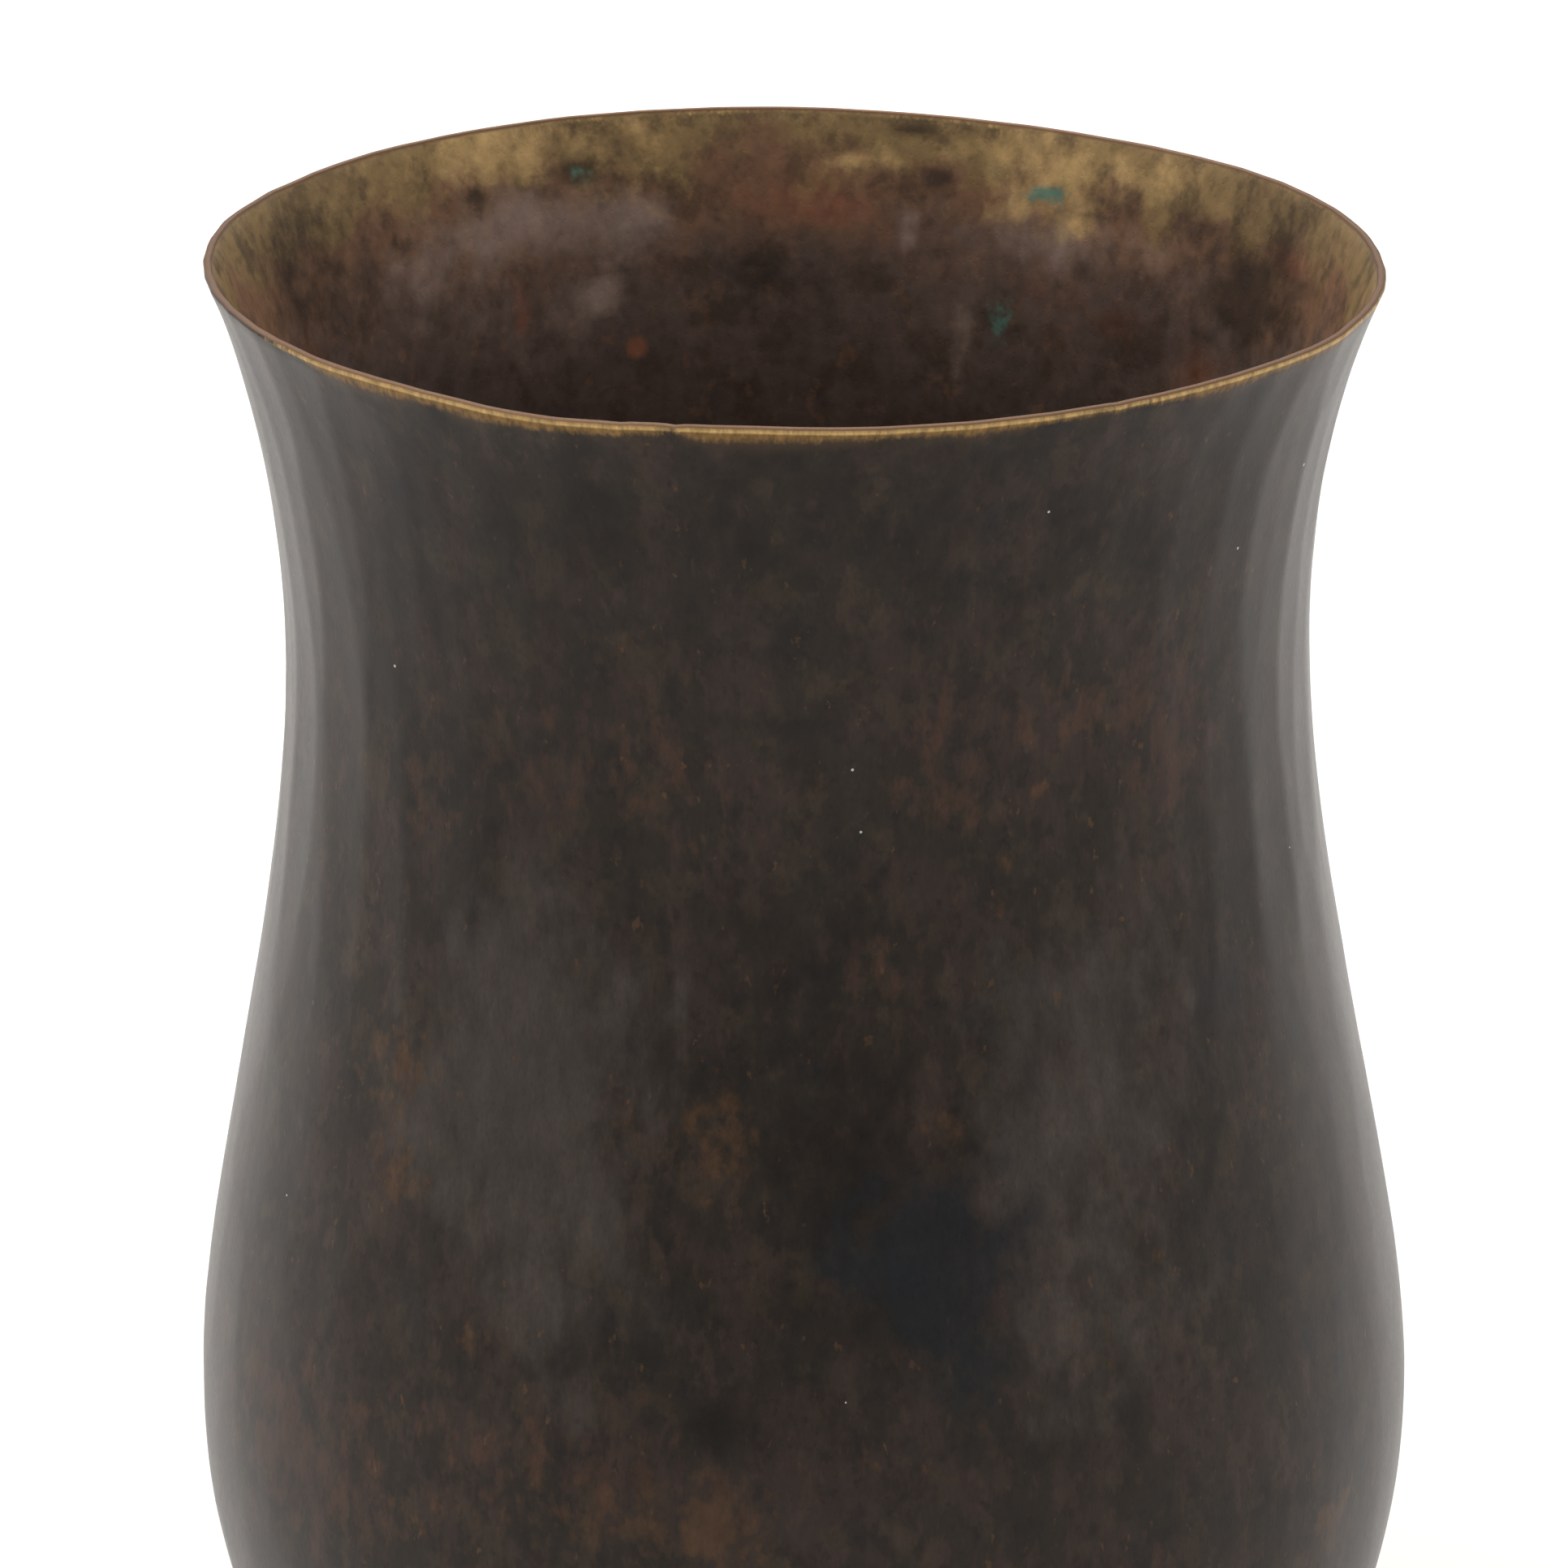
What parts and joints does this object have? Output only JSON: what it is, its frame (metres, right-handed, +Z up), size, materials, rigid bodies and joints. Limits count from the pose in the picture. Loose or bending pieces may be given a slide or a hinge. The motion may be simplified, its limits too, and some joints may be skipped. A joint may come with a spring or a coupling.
{
  "type": "kalash water pot",
  "caption": "Tall wide-mouthed brass water pot with a flared lip, a drawn-in waist, a full low belly and a rounded base, beaten from sheet and darkened with age.",
  "frame": {"origin": "centre of the flat underside that the pot stands on", "axes": "+Z up along the pot's axis; the lip is lowest towards +X"},
  "size_m": [0.16, 0.16, 0.2177],
  "materials": {
    "wall_brass": "hand-beaten sheet under a dark brown, mottled, half-matt patina, worn to gold along the lip",
    "bowl_brass": "hand-beaten sheet under a dark brown patina, duller than the wall",
    "spelter": "brazing spelter, dull yellow-brown"
  },
  "bodies": {
    "root": {"upper_wall": "wall_brass", "lower_bowl": "bowl_brass", "outer_seam_spelter": "spelter", "inner_seam_spelter": "spelter"}
  },
  "joints": []
}
